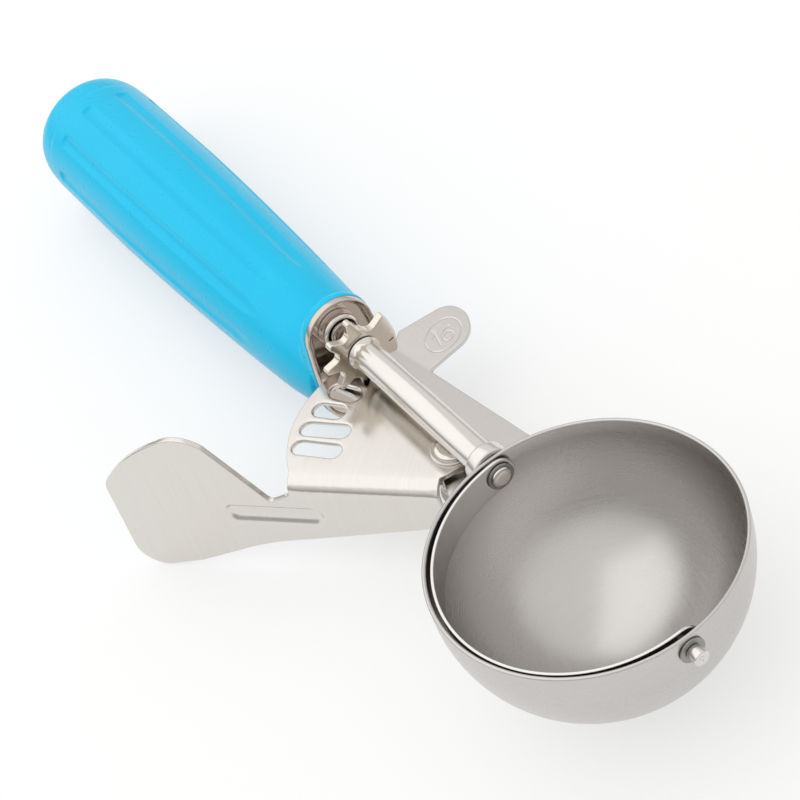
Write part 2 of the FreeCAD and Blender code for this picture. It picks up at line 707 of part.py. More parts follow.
def make_spring():
    """Torsion spring of round wire: one leg on the arm, three and a quarter turns, one on the stop."""
    wire, radius, pitch, turns = [value(name) for name in
                                  ("wire_radius", "coil_radius", "coil_pitch", "coil_turns")]
    top = -value("plate_under") - wire - 0.3
    first = math.radians(180 + value("lever_turn") + 90 + 15.9)
    climb = math.atan2(pitch, 2 * math.pi * radius)

    def on_coil(angle):
        along = (angle - first) / (2 * math.pi) * pitch
        return FreeCAD.Vector(radius * math.cos(angle), radius * math.sin(angle), top - along)

    def heading(angle):
        flat = math.cos(climb)
        return FreeCAD.Vector(-math.sin(angle) * flat, math.cos(angle) * flat, -math.sin(climb))

    steps = round(turns * 4)
    angles = [first + turns * 2 * math.pi * step / steps for step in range(steps + 1)]
    lever_leg = on_coil(angles[0]) - heading(angles[0]) * value("lever_leg")
    stop_leg = on_coil(angles[-1]) + heading(angles[-1]) * value("stop_leg")
    edges = [Part.LineSegment(lever_leg, on_coil(angles[0])).toShape()]
    for before, after in zip(angles, angles[1:]):
        edges += biarc(on_coil(before), heading(before), on_coil(after), heading(after))
    edges.append(Part.LineSegment(on_coil(angles[-1]), stop_leg).toShape())
    section = Part.Wire(Part.Circle(lever_leg, heading(angles[0]), wire).toShape())
    spring = doc.addObject("Part::Feature", "spring_wire")
    spring.Shape = Part.Wire(edges).makePipeShell([section], True, False)
    put(spring, x="-lever_pivot_back")
    keep(spring, "return_spring")
    length = sum(edge.Length for edge in edges)
    print("spring volume", round(spring.Shape.Volume, 2), "section times length",
          round(math.pi * wire ** 2 * length, 2))
    samples = [on_coil(angle) for angle in
               [first + turns * 2 * math.pi * step / 400 for step in range(401)]]
    apart = round(0.7 * 400 / turns)
    least = min((samples[one] - samples[two]).Length for one in range(401)
                for two in range(one + apart, 401))
    print("spring least gap to itself", round(least - 2 * wire, 3))


make_bowl()
make_bowl_fittings()
make_frame_plate()
make_solder()
make_bulkhead()
make_rear_bush()
make_grip()
make_pivot()
make_shaft()
make_pinion()
make_blade()
make_front_pin()
make_lever()
make_spring()
doc.recompute()

for item in doc.Objects:
    if {"Invalid", "Error"} & set(item.State):
        raise RuntimeError(item.Name + " failed: " + ", ".join(item.State))
for item in parts:
    if item.Shape.isNull() or not item.Shape.isValid() or len(item.Shape.Solids) < 1:
        raise RuntimeError(item.Label + " has no valid solid")

os.makedirs("parts", exist_ok=True)
for item in parts:
    item.Shape.exportStep(f"parts/{item.Label}.step")
    box = item.Shape.BoundBox
    print(item.Label, len(item.Shape.Solids), round(item.Shape.Volume, 1),
          [round(v, 2) for v in (box.XMin, box.XMax, box.YMin, box.YMax, box.ZMin, box.ZMax)])
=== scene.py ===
import math
import bmesh
import bpy
from mathutils import Matrix, Vector, geometry


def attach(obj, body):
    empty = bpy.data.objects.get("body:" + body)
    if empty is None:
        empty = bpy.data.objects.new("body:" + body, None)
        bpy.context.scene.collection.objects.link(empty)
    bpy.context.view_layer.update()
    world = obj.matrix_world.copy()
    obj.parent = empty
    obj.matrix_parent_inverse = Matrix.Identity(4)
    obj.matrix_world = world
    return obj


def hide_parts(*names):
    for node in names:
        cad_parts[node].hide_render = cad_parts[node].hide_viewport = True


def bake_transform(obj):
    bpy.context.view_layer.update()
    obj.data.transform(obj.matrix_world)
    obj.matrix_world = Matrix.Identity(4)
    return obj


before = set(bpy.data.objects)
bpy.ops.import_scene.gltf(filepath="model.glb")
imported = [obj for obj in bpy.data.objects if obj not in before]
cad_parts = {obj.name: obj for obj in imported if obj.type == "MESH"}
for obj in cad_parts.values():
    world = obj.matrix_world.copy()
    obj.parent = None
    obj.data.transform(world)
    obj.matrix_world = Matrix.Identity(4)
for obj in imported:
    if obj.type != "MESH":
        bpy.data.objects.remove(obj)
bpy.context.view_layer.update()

# Bowl
# Half sphere pressed and spun from one disc of stainless steel, with a short straight band above
# it. The outside is satin from the spinning, with fine rings round the bowl, and the rim is rounded.
MM = 0.001
BOWL_RADIUS = 28.5 * MM
BOWL_WALL = 0.8 * MM
RIM_HEIGHT = 3.3 * MM
BOWL_STEP = 3
RIM_STEPS = 8


def piece_from(name, mesh, body, stands_for, material):
    """A finished piece on its body, in place of the plain solids that it stands for."""
    item = bpy.data.objects.new(name, mesh)
    bpy.context.scene.collection.objects.link(item)
    mesh.materials.append(material)
    for face in mesh.polygons:
        face.use_smooth = True
    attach(item, body)
    if stands_for:
        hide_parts(*stands_for)
    return item


def mesh_from(made, name):
    """The finished mesh, with its faces turned outwards."""
    bmesh.ops.recalc_face_normals(made, faces=made.faces)
    mesh = bpy.data.meshes.new(name)
    made.to_mesh(mesh)
    made.free()
    return mesh


def turned(name, profile, steps, axis="X", centre=(0, 0, 0)):
    """A closed ring of profile points (place along the axis, radius) turned about the axis."""
    made = bmesh.new()
    loops = []
    for step in range(steps):
        angle = 2 * math.pi * step / steps
        loop = []
        for along, radius in profile:
            if axis == "X":
                spot = Vector((along, radius * math.cos(angle), radius * math.sin(angle)))
            else:
                spot = Vector((radius * math.cos(angle), radius * math.sin(angle), along))
            loop.append(made.verts.new(spot + Vector(centre)))
        loops.append(loop)
    count = len(profile)
    for step in range(steps):
        here, there = loops[step], loops[(step + 1) % steps]
        for index in range(count):
            following = (index + 1) % count
            made.faces.new((here[index], there[index], there[following], here[following]))
    bmesh.ops.remove_doubles(made, verts=made.verts, dist=1e-7)
    return mesh_from(made, name)


def rounded(points, radius, steps=4):
    """The closed profile with every corner rounded, so that each edge catches the light."""
    smooth = []
    count = len(points)
    for index in range(count):
        before = Vector(points[index - 1])
        corner = Vector(points[index])
        after = Vector(points[(index + 1) % count])
        near = min(radius, (before - corner).length / 2.2, (after - corner).length / 2.2)
        if corner.y < 1e-9:
            smooth.append(tuple(corner))
            continue
        first = corner + (before - corner).normalized() * near
        last = corner + (after - corner).normalized() * near
        for step in range(steps + 1):
            part = step / steps
            spot = first * (1 - part) ** 2 + corner * 2 * part * (1 - part) + last * part ** 2
            smooth.append(tuple(spot))
    return smooth


def noise_over(nodes, links, place, scale, detail):
    """The strength of a noise over a place."""
    cloud = nodes.new("ShaderNodeTexNoise")
    cloud.inputs["Scale"].default_value = scale
    cloud.inputs["Detail"].default_value = detail
    links.new(place, cloud.inputs["Vector"])
    return cloud.outputs["Fac"]


def spread(nodes, links, value, low, high, start=0.0, finish=1.0):
    """The value's span from start to finish, spread over low to high."""
    span = nodes.new("ShaderNodeMapRange")
    span.inputs["From Min"].default_value = start
    span.inputs["From Max"].default_value = finish
    span.inputs["To Min"].default_value = low
    span.inputs["To Max"].default_value = high
    links.new(value, span.inputs["Value"])
    return span.outputs["Result"]


def tinted(nodes, links, value, deep, light, start=0.0, finish=1.0):
    """A colour that goes from deep to light as the value goes from start to finish."""
    tone = nodes.new("ShaderNodeValToRGB")
    for element, position, colour in zip(tone.color_ramp.elements, (start, finish), (deep, light)):
        element.position = position
        element.color = (*colour, 1)
    links.new(value, tone.inputs["Fac"])
    return tone.outputs["Color"]


def uneven(nodes, links, height, strength, distance):
    """The normal of a surface that rises and falls a little with the height."""
    relief = nodes.new("ShaderNodeBump")
    relief.inputs["Strength"].default_value = strength
    relief.inputs["Distance"].default_value = distance
    links.new(height, relief.inputs["Height"])
    return relief.outputs["Normal"]


def steel(name, colour, rough, lines, grain=0.04, wear=0.03, turn=0.0, relief_depth=0.05):
    """Stainless steel with fine lines, so many to a metre along X, Y and Z once turned about Z."""
    material = bpy.data.materials.new(name)
    material.use_nodes = True
    nodes, links = material.node_tree.nodes, material.node_tree.links
    shader = nodes["Principled BSDF"]
    shader.inputs["Metallic"].default_value = 1.0
    place = nodes.new("ShaderNodeTexCoord").outputs["Object"]
    stretch = nodes.new("ShaderNodeMapping")
    stretch.vector_type = "TEXTURE"
    stretch.inputs["Rotation"].default_value = (0, 0, turn)
    stretch.inputs["Scale"].default_value = [1 / number for number in lines]
    links.new(place, stretch.inputs["Vector"])
    brushing = noise_over(nodes, links, stretch.outputs["Vector"], 1.0, 2.0)
    handling = noise_over(nodes, links, place, 140.0, 3.0)
    total = nodes.new("ShaderNodeMath")
    links.new(spread(nodes, links, brushing, max(rough - grain, 0.02), rough + grain), total.inputs[0])
    links.new(spread(nodes, links, handling, 0.0, wear, 0.35, 0.7), total.inputs[1])
    links.new(total.outputs["Value"], shader.inputs["Roughness"])
    deep = [part * 0.965 for part in colour]
    links.new(tinted(nodes, links, brushing, deep, colour, 0.3, 0.7), shader.inputs["Base Color"])
    links.new(uneven(nodes, links, brushing, relief_depth, 0.03 * MM), shader.inputs["Normal"])
    return material


def bowl_profile():
    """Outside from the pole up to the rolled rim, and back down the inside."""
    inside = BOWL_RADIUS - BOWL_WALL
    outer = [(-BOWL_RADIUS * math.cos(math.radians(angle)), BOWL_RADIUS * math.sin(math.radians(angle)))
             for angle in range(0, 91, BOWL_STEP)]
    rim = []
    for step in range(RIM_STEPS + 1):
        angle = math.pi * step / RIM_STEPS
        rim.append((RIM_HEIGHT - BOWL_WALL / 2 + BOWL_WALL / 2 * math.sin(angle),
                    BOWL_RADIUS - BOWL_WALL / 2 + BOWL_WALL / 2 * math.cos(angle)))
    inner = [(-inside * math.cos(math.radians(angle)), inside * math.sin(math.radians(angle)))
             for angle in range(90, -1, -BOWL_STEP)]
    return outer + rim + inner


bowl_steel = steel("spun satin steel", (0.59, 0.57, 0.555), 0.27, (60, 60, 2600), grain=0.05,
                   relief_depth=0.1)
piece_from("bowl_shell", turned("bowl_shell", bowl_profile(), 160, "Z"), "frame", ["bowl"],
           bowl_steel)

# Front pivot pin and its washer
# A short stainless pin goes through the bowl's front wall into the blade's eyelet, where it is
# peened over. Its head is turned, with a centre dimple, and stands on a thin dull washer, whose dark
# colour is painted shade from the gap behind the head.
bright_steel = steel("bright turned steel", (0.72, 0.69, 0.655), 0.16, (900, 120, 120))
# The washers' dark base colour is painted shade, darker than the steel's own tone.
washer_steel_painted_shade = steel("dull washer steel with painted shade", (0.34, 0.33, 0.32), 0.38, (300, 300, 300))


def turned_piece(name, node, body, points, soft, material, steps=64, axis="X", centre=(0, 0, 0)):
    """A round piece turned from corners (place on the axis, radius) in millimetres, edges eased."""
    section = rounded([(along * MM, radius * MM) for along, radius in points], soft * MM)
    piece_from(name, turned(name, section, steps, axis, centre), body, [node], material)


turned_piece("front_pin_washer", "front_washer", "frame",
             [(28.55, 1.1), (28.55, 2.5), (28.95, 2.5), (28.95, 1.1)], 0.12, washer_steel_painted_shade, 48)
turned_piece("front_pin_turned", "front_pivot_pin", "sweep",
             [(25.5, 0.0), (25.5, 1.7), (26.3, 1.7), (26.3, 1.05), (29.0, 1.05), (29.0, 1.5),
              (31.4, 1.5), (31.4, 0.7), (30.95, 0.0)], 0.28, bright_steel, 48)

# Shaft tube and its collar
# The blade's shaft runs in a drawn stainless tube, flared at the pinion's end. At the bowl a collar
# is brazed round it. The tube is polished along its length.
tube_steel = steel("polished tube", (0.73, 0.70, 0.66), 0.17, (40, 900, 900), grain=0.03)

TUBE_FRONT = -28.5
TUBE_BORE = 2.05
TUBE_RADIUS = 3.0
FLARE_START = -70.3
FLARE_LENGTH = 1.5
FLARE_RISE = 0.6
FLARE_STEPS = 8

tube_corners = [(TUBE_FRONT, TUBE_BORE), (TUBE_FRONT, TUBE_RADIUS - 0.1), (TUBE_FRONT - 0.1, TUBE_RADIUS)]
for step in range(FLARE_STEPS + 1):
    opening = step / FLARE_STEPS
    tube_corners.append((FLARE_START - FLARE_LENGTH * opening, TUBE_RADIUS + FLARE_RISE * opening ** 2))
tube_corners += [(-71.87, 3.58), (-71.9, 3.45), (-71.8, 3.25), (-71.2, 2.7), (-70.2, TUBE_BORE)]
tube_section = [(along * MM, radius * MM) for along, radius in tube_corners]
piece_from("drawn_tube", turned("drawn_tube", tube_section, 72), "frame", ["shaft_tube"],
           tube_steel)
turned_piece("brazed_collar", "tube_collar", "frame",
             [(-31.5, 3.0), (-31.5, 4.2), (-28.45, 4.2), (-28.45, 3.0)], 0.5, bright_steel)

# Frame plate
# The backbone: 1.5 mm sheet, blanked and pressed, that joins bowl, lever pivot and grip. Its far
# side slopes down to a crease, and the level tab beyond it carries the portion size in an oval.
PLATE_TOP = -8.9
PLATE_THICK = 1.5
SLOPE_START = 4.4
SLOPE_DROP = 1.0
SLOPE_FADE = (-40.0, -28.0)
CREASE_NEAR = (-46.0, 12.2)
CREASE_FAR = (-76.8, 8.2)
MARK_CENTRE = (-74.0, 16.9)
MARK_REACH = (4.65, 3.45)
MARK_TURN = math.radians(125)
NUMBER_CENTRE = (-73.7, 16.9)
NUMBER_SLANT = 0.28
STRIKE_DEPTH = 0.09
STRIKE_HALF = 0.17
TAB_START = -64.0
TAB_THINNED = 0.35
BOWL_EDGE = 27.2
NECK_NEAR = 9.5
NECK_FAR = 14.3


def edge_line(corners, step=0.6):
    """Points in millimetres along an outline. A corner (x, y, radius, turn) has an arc after it."""
    line = []
    for index, corner in enumerate(corners):
        start = Vector(corner[:2])
        finish = Vector(corners[(index + 1) % len(corners)][:2])
        chord = finish - start
        if len(corner) == 2:
            count = max(1, round(chord.length / (2 * step)))
            line += [start + chord * part / count for part in range(count)]
            continue
        radius, turn = corner[2], corner[3]
        across = Vector((-chord.y, chord.x)).normalized()
        height = math.sqrt(max(radius ** 2 - chord.length_squared / 4, 0))
        centre = (start + finish) / 2 + across * turn * height
        arm = start - centre
        sweep = 2 * math.asin(min(chord.length / 2 / radius, 1)) * turn
        count = max(2, round(abs(sweep) * radius / step))
        for part in range(count):
            turned_arm = Matrix.Rotation(sweep * part / count, 2) @ arm
            line.append(centre + turned_arm)
    return line


def inside_line(spot, line):
    """True where the spot is inside the closed line."""
    found = False
    for index, here in enumerate(line):
        before = line[index - 1]
        if (here.y > spot.y) != (before.y > spot.y):
            crossing = (before.x - here.x) * (spot.y - here.y) / (before.y - here.y) + here.x
            if spot.x < crossing:
                found = not found
    return found


def drawn_in(line, amount):
    """The closed line moved to its left by amount, which is inwards where it runs anticlockwise."""
    moved = []
    for index, here in enumerate(line):
        before = (here - line[index - 1]).normalized()
        after = (line[(index + 1) % len(line)] - here).normalized()
        first = Vector((-before.y, before.x))
        last = Vector((-after.y, after.x))
        middle = (first + last).normalized()
        reach = amount / max(middle.dot(first), 0.5)
        moved.append(here + middle * reach)
    return moved


def anticlockwise(line):
    """The closed line, turned round if it runs clockwise."""
    area = sum(line[index - 1].cross(here) for index, here in enumerate(line))
    return line if area > 0 else line[::-1]


def within(spot, outer, holes):
    """True where the spot is inside the outer line and outside every hole."""
    return inside_line(spot, outer) and not any(inside_line(spot, line) for line in holes)


def filling_points(insets, gap, extra, near):
    """The extra points and a staggered grid, where they lie on the sheet and clear of its borders."""
    left, right = min(p.x for p in insets[0]), max(p.x for p in insets[0])
    low, high = min(p.y for p in insets[0]), max(p.y for p in insets[0])
    fillers = [(Vector(spot), near) for spot in extra]
    for row in range(int((high - low) / gap) + 1):
        for column in range(int((right - left) / gap) + 1):
            spot = Vector((left + (column + 0.5 * (row % 2)) * gap, low + row * gap))
            fillers.append((spot, 0.22 * gap))
    border_points = [point for line in insets for point in line]
    crowded = set()
    kept = []
    for spot, room in fillers:
        cell = (round(spot.x / room), round(spot.y / room), room)
        if cell in crowded or not within(spot, insets[0], insets[1:]):
            continue
        if min((spot - point).length_squared for point in border_points) < room ** 2:
            continue
        crowded.add(cell)
        kept.append(spot)
    return kept


def edge_section(radius, thick):
    """A rounded sheet edge from the upper face to the lower one, as places (outwards, height)."""
    section = [(radius * math.sin(math.radians(angle)),
                thick / 2 - radius + radius * math.cos(math.radians(angle)))
               for angle in range(0, 91, 18)]
    return section + [(out, -height) for out, height in reversed(section)]


def even_shading(mesh):
    """Lets the broad faces decide how the sheet is shaded, so that its flats stay flat."""
    normals = [Vector((0, 0, 0)) for _ in mesh.vertices]
    for face in mesh.polygons:
        for index in face.vertices:
            normals[index] += face.normal * face.area
    for face in mesh.polygons:
        face.use_smooth = True
    mesh.normals_split_custom_set_from_vertices([normal.normalized() for normal in normals])


def pressed_sheet(name, border, holes, thick, shaped, gap=2.0, edge=0.28, hole_edge=0.28, extra=(),
                  near=0.2):
    """Sheet metal from a flat blank. Shaped(x, y, height) says where the press puts each point."""
    made = bmesh.new()
    loops = [(anticlockwise(border), edge)]
    loops += [(anticlockwise(hole)[::-1], hole_edge) for hole in holes]
    insets = [drawn_in(line, radius) for line, radius in loops]
    flat, edges = [], []
    for line in insets:
        first = len(flat)
        flat += line
        edges += [(first + index, first + (index + 1) % len(line)) for index in range(len(line))]
    flat += filling_points(insets, gap, extra, near)
    spots, _, faces, _, _, _ = geometry.delaunay_2d_cdt(flat, edges, [], 0, 1e-4)
    kept = [face for face in faces
            if within(sum((spots[index] for index in face), Vector((0, 0))) / len(face),
                      insets[0], insets[1:])]
    for height, flip in ((thick / 2, False), (-thick / 2, True)):
        layer = [made.verts.new(shaped(spot.x, spot.y, height) * MM) for spot in spots]
        for face in kept:
            corners = [layer[index] for index in (reversed(face) if flip else face)]
            made.faces.new(corners)
    for (line, radius), inset in zip(loops, insets):
        rows = []
        for out, height in edge_section(radius, thick):
            moved = drawn_in(inset, -out)
            rows.append([made.verts.new(shaped(spot.x, spot.y, height) * MM) for spot in moved])
        for upper, lower in zip(rows, rows[1:]):
            for index in range(len(inset)):
                following = (index + 1) % len(inset)
                made.faces.new((upper[index], lower[index], lower[following], upper[following]))
    bmesh.ops.remove_doubles(made, verts=made.verts, dist=2e-6)
    loose = [vertex for vertex in made.verts if not vertex.link_faces]
    bmesh.ops.delete(made, geom=loose, context="VERTS")
    mesh = mesh_from(made, name)
    even_shading(mesh)
    return mesh


def ring_points(centre, reach, count):
    """Points round an oval that reaches so far along X and Y."""
    return [Vector((centre[0] + reach[0] * math.cos(2 * math.pi * step / count),
                    centre[1] + reach[1] * math.sin(2 * math.pi * step / count)))
            for step in range(count)]


def from_stroke(spot, start, finish):
    """Distance from the spot to a straight stroke."""
    along = finish - start
    part = max(0, min(1, (spot - start).dot(along) / along.length_squared))
    return (spot - start - along * part).length


def number_spot(right, up):
    """A place in the struck number, which reads across the tab and leans a little forwards."""
    return Vector((NUMBER_CENTRE[0] - up, NUMBER_CENTRE[1] + right + NUMBER_SLANT * up))


def number_arc(right, up, radius, start, finish, count):
    """Places along an arc of the struck number, between two angles in degrees."""
    angles = [math.radians(start + (finish - start) * step / count) for step in range(count + 1)]
    return [number_spot(right + radius * math.cos(angle), up + radius * math.sin(angle))
            for angle in angles]


oval = [Vector(MARK_CENTRE) + Matrix.Rotation(MARK_TURN, 2) @ spot
        for spot in ring_points((0, 0), MARK_REACH, 72)]
struck_lines = [oval + oval[:1],
                [number_spot(*place) for place in ((-2.2, 1.25), (-1.5, 1.7), (-1.5, 0), (-1.5, -1.7))],
                number_arc(0.75, -0.75, 1.15, 0, 360, 20),
                number_arc(1.55, -0.5, 2.0, 85, 190, 12)]


def mark_depth(x, y):
    """Depth of the struck lines at a place on the plate: the oval, and the plain number 16."""
    spot = Vector((x, y))
    if (spot - Vector(MARK_CENTRE)).length > max(MARK_REACH) + 1:
        return 0
    nearest = min(from_stroke(spot, here, there)
                  for line in struck_lines for here, there in zip(line, line[1:]))
    return STRIKE_DEPTH * max(0, 1 - (nearest / STRIKE_HALF) ** 2)


def crease_place(x):
    """Distance of the crease from the plate's middle line."""
    part = (x - CREASE_NEAR[0]) / (CREASE_FAR[0] - CREASE_NEAR[0])
    return CREASE_NEAR[1] + (CREASE_FAR[1] - CREASE_NEAR[1]) * part


def plate_shape(x, y, height):
    """The flat middle, the side that slopes down to the crease, and the level tab with its mark."""
    fade = max(0, min(1, (SLOPE_FADE[1] - x) / (SLOPE_FADE[1] - SLOPE_FADE[0])))
    part = max(0, min(1, (y - SLOPE_START) / (crease_place(x) - SLOPE_START)))
    struck = mark_depth(x, y) if height > 0 else 0
    tab = max(0, min(1, y - crease_place(x))) * max(0, min(1, TAB_START - x))
    height -= (height - PLATE_THICK / 2) * TAB_THINNED * tab
    return Vector((x, y, PLATE_TOP - PLATE_THICK / 2 + height - SLOPE_DROP * part * fade - struck))


plate_border = edge_line([
    (-math.sqrt(BOWL_EDGE ** 2 - NECK_NEAR ** 2), -NECK_NEAR, BOWL_EDGE, -1),
    (-math.sqrt(BOWL_EDGE ** 2 - NECK_FAR ** 2), NECK_FAR),
    (-28.5, NECK_FAR), (-46, 12.3), (-59, 10.7), (-67.3, 9.7, 0.9, -1), (-68.2, 10.6),
    (-69.2, 18.2, 6.8, 1), (-73.4, 22.95, 6.5, 1), (-77.4, 23.55, 4.0, 1), (-81.1, 20.0), (-82.0, 11.4),
    (-80.5, 9.6), (-80.3, 6),
    (-140, 6), (-140, -6), (-80.3, -6), (-79.3, -6.7), (-73.9, -5.2), (-42, -5.2), (-30, -NECK_NEAR),
], 0.8)
PRESS_START = -80
PRESS_SPACING = 1.1
PRESS_COUNT = 46
pressed_points = []
for step in range(PRESS_COUNT):
    x = PRESS_START + PRESS_SPACING * step
    pressed_points += [(x, SLOPE_START + aside) for aside in (-0.5, 0, 0.5)]
    pressed_points += [(x, crease_place(x) + aside) for aside in (-0.45, -0.15, 0.15, 0.45)]
for line in struck_lines:
    for here, there in zip(line, line[1:]):
        ahead = (there - here).normalized()
        aside = Vector((-ahead.y, ahead.x))
        count = max(1, round((there - here).length / 0.2))
        for step in range(count):
            middle = here + (there - here) * step / count
            pressed_points += [middle + aside * out
                               for out in (-0.28, -STRIKE_HALF, -0.08, 0, 0.08, STRIKE_HALF, 0.28)]
    for end in (line[0], line[-1]):
        pressed_points += ring_points(end, (0.28, 0.28), 8) + ring_points(end, (0.6, 0.6), 8)
plate_steel = steel("pressed plate", (0.64, 0.61, 0.58), 0.22, (200, 2400, 200), grain=0.03)
plate_mesh = pressed_sheet("pressed_frame", plate_border, [], PLATE_THICK, plate_shape, 2.4, 0.3,
                           extra=pressed_points, near=0.07)
piece_from("pressed_frame", plate_mesh, "frame", ["frame_plate"], plate_steel)

# Solder between plate and bowl
# A bead of hard solder fills the corner under the plate. It keeps its cast skin, a little duller
# than the sheet on both sides.
solder_skin = steel("solder skin", (0.62, 0.60, 0.57), 0.42, (500, 500, 500), grain=0.1)


def finish_node(node, material):
    """Gives the solid that the frame already holds its finish."""
    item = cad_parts[node]
    item.data.materials.clear()
    item.data.materials.append(material)


finish_node("plate_solder", solder_skin)

# Bulkhead
# A shallow cup drawn from thin sheet, open to the front. It closes the grip's mouth and carries the
# shaft's rear end in its arch. The rim is rounded, and the hollow is left as drawn. Its warm brown
# colour is a painted reflection, not the steel's own tone.
BULKHEAD_FRONT = -80.8
BULKHEAD_BACK = -83.2
ARCH_RADIUS = 7.35
ARCH_HEIGHT = -0.4
BELLY_RADIUS = 8.6
BELLY_DROP = -14.0
ROUND_STEPS = 28
LEG_STEPS = 8
# The cup's brown base colour is a painted brown reflection.
cup_steel_painted_reflection = steel("drawn cup with painted brown reflection", (0.62, 0.54, 0.48), 0.13, (300, 300, 300), grain=0.05)


def cup_outline(inset):
    """The arch over the shaft, straight legs and the rounder belly, drawn in by inset."""
    arch, belly = ARCH_RADIUS - inset, BELLY_RADIUS - inset
    half_turn = [math.pi * step / ROUND_STEPS for step in range(ROUND_STEPS + 1)]
    legs = [step / LEG_STEPS for step in range(1, LEG_STEPS)]
    points = [Vector((arch * math.cos(angle), arch * math.sin(angle))) for angle in half_turn]
    points += [Vector((-arch + (arch - belly) * part, BELLY_DROP * part)) for part in legs]
    points += [Vector((-belly * math.cos(angle), BELLY_DROP - belly * math.sin(angle)))
               for angle in half_turn]
    points += [Vector((belly + (arch - belly) * part, BELLY_DROP - BELLY_DROP * part)) for part in legs]
    return [point + Vector((0, ARCH_HEIGHT)) for point in points]


def skin_over(made, loops):
    """Faces from each loop of points to the next."""
    for here, there in zip(loops, loops[1:]):
        for index in range(len(here)):
            following = (index + 1) % len(here)
            made.faces.new((here[index], here[following], there[following], there[index]))


cup_steps = [(2.0, BULKHEAD_BACK), (0.6, BULKHEAD_BACK), (0.15, BULKHEAD_BACK + 0.15),
             (0, BULKHEAD_BACK + 0.6), (0, BULKHEAD_FRONT - 0.3), (0.06, BULKHEAD_FRONT - 0.1),
             (0.2, BULKHEAD_FRONT), (0.4, BULKHEAD_FRONT), (0.54, BULKHEAD_FRONT - 0.1),
             (0.6, BULKHEAD_FRONT - 0.3), (0.66, BULKHEAD_FRONT - 0.8), (0.8, BULKHEAD_FRONT - 1.15),
             (1.1, BULKHEAD_FRONT - 1.4), (1.8, BULKHEAD_FRONT - 1.55), (4.6, BULKHEAD_FRONT - 1.6)]
cup = bmesh.new()
cup_loops = []
for inset, x in cup_steps:
    cup_loops.append([cup.verts.new(Vector((x, spot.x, spot.y)) * MM) for spot in cup_outline(inset)])
skin_over(cup, cup_loops)
cup.faces.new(cup_loops[0])
cup.faces.new(cup_loops[-1])
cup_mesh = mesh_from(cup, "drawn_cup")
piece_from("drawn_cup", cup_mesh, "frame", ["bulkhead"], cup_steel_painted_reflection)

# Rear bush, retaining ring and pinion hub
# A flanged bush is pressed into the cup, and a sprung ring on the shaft stops it from sliding. The
# hub is a turned sleeve between them and the pinion, polished by hand.
hub_steel = steel("polished hub", (0.70, 0.66, 0.62), 0.12, (700, 90, 90))

turned_piece("pressed_bush", "rear_bearing_bush", "frame",
             [(-83.2, 2.05), (-83.2, 2.9), (-82.4, 2.9), (-82.4, 4.2), (-80.4, 3.9), (-80.0, 3.5),
              (-80.0, 3.15), (-81.6, 3.05), (-81.6, 2.05)], 0.3, hub_steel)
turned_piece("sprung_ring", "shaft_retaining_ring", "sweep",
             [(-81.4, 2.0), (-81.4, 2.8), (-79.2, 2.8), (-79.2, 2.0)], 0.12, hub_steel, 48)
turned_piece("turned_hub", "pinion_hub", "sweep",
             [(-79.1, 2.0), (-79.1, 2.85), (-76.6, 2.85), (-75.9, 3.5), (-73.9, 3.7), (-73.9, 2.0)],
             0.25, hub_steel)

# Grip
# Moulded round the plate's tang in one shot of sky blue plastic, with ten long flutes that fade
# out towards the front and a fine shoulder line round the back end. A collar of the same plastic
# closes round the back of the cup. The skin is glossy.
GRIP_AXIS = -12.5
GRIP_FRONT = -83.2
GRIP_LENGTH = 114.3
FRONT_ROUND = 0.8
FRONT_RADIUS = 10.4
SWELL = 0.55
SWELL_END = 76.8
BACK_RADIUS = 14.0
SHOULDER_PLACE = 107.0
SHOULDER_WIDTH = 0.4
SHOULDER_DEPTH = 0.12
CAP_FLAT = 12.1
CAP_POWER = 2.6
FLUTES = 10
FLUTE_PHASE = math.radians(-8)
FLUTE_FLOOR = ((18.97, 11.78), (25.0, 11.65), (53.0, 12.77), (76.8, 13.5), (102.16, 13.5))
FLUTE_CENTRE = ((18.97, 15.0), (103.56, 16.7))
FLUTE_END = 1.4
FLUTE_BLEND = 0.16
FLUTE_STEPS = 44
MOUTH_TAPER = 1.0
MOUTH_LENGTH = 12.0
COLLAR_FRONT = -82.1
COLLAR_LENGTH = 7.0


def grip_radius(back):
    """Radius of the plain grip at a distance behind its front face."""
    drawn = MOUTH_TAPER * max(0, 1 - back / MOUTH_LENGTH) ** 2
    if back < FRONT_ROUND:
        edge = FRONT_ROUND * math.sin(math.acos(1 - back / FRONT_ROUND))
        return FRONT_RADIUS - FRONT_ROUND + edge - drawn
    if back < SWELL_END:
        part = (back - FRONT_ROUND) / (SWELL_END - FRONT_ROUND)
        straight = FRONT_RADIUS + (BACK_RADIUS - FRONT_RADIUS) * part
        return straight + SWELL * 4 * part * (1 - part) - drawn
    if back < SHOULDER_PLACE:
        return BACK_RADIUS
    past = back - SHOULDER_PLACE
    if past < SHOULDER_WIDTH:
        return BACK_RADIUS - SHOULDER_DEPTH * past / SHOULDER_WIDTH
    part = (past - SHOULDER_WIDTH) / (GRIP_LENGTH - SHOULDER_PLACE - SHOULDER_WIDTH)
    cap_round = BACK_RADIUS - SHOULDER_DEPTH - CAP_FLAT
    return CAP_FLAT + cap_round * math.sqrt(max(1 - part ** CAP_POWER, 0))


def flute_floor(back):
    """Distance from the grip's axis to the bottom of a flute, or a large one past its ends."""
    for (start, low), (finish, high) in zip(FLUTE_FLOOR, FLUTE_FLOOR[1:]):
        if start <= back <= finish:
            return low + (high - low) * (back - start) / (finish - start)
    past = back - FLUTE_FLOOR[-1][0]
    if 0 < past < FLUTE_END:
        return FLUTE_FLOOR[-1][1] + FLUTE_END - math.sqrt(FLUTE_END ** 2 - past ** 2)
    return 99


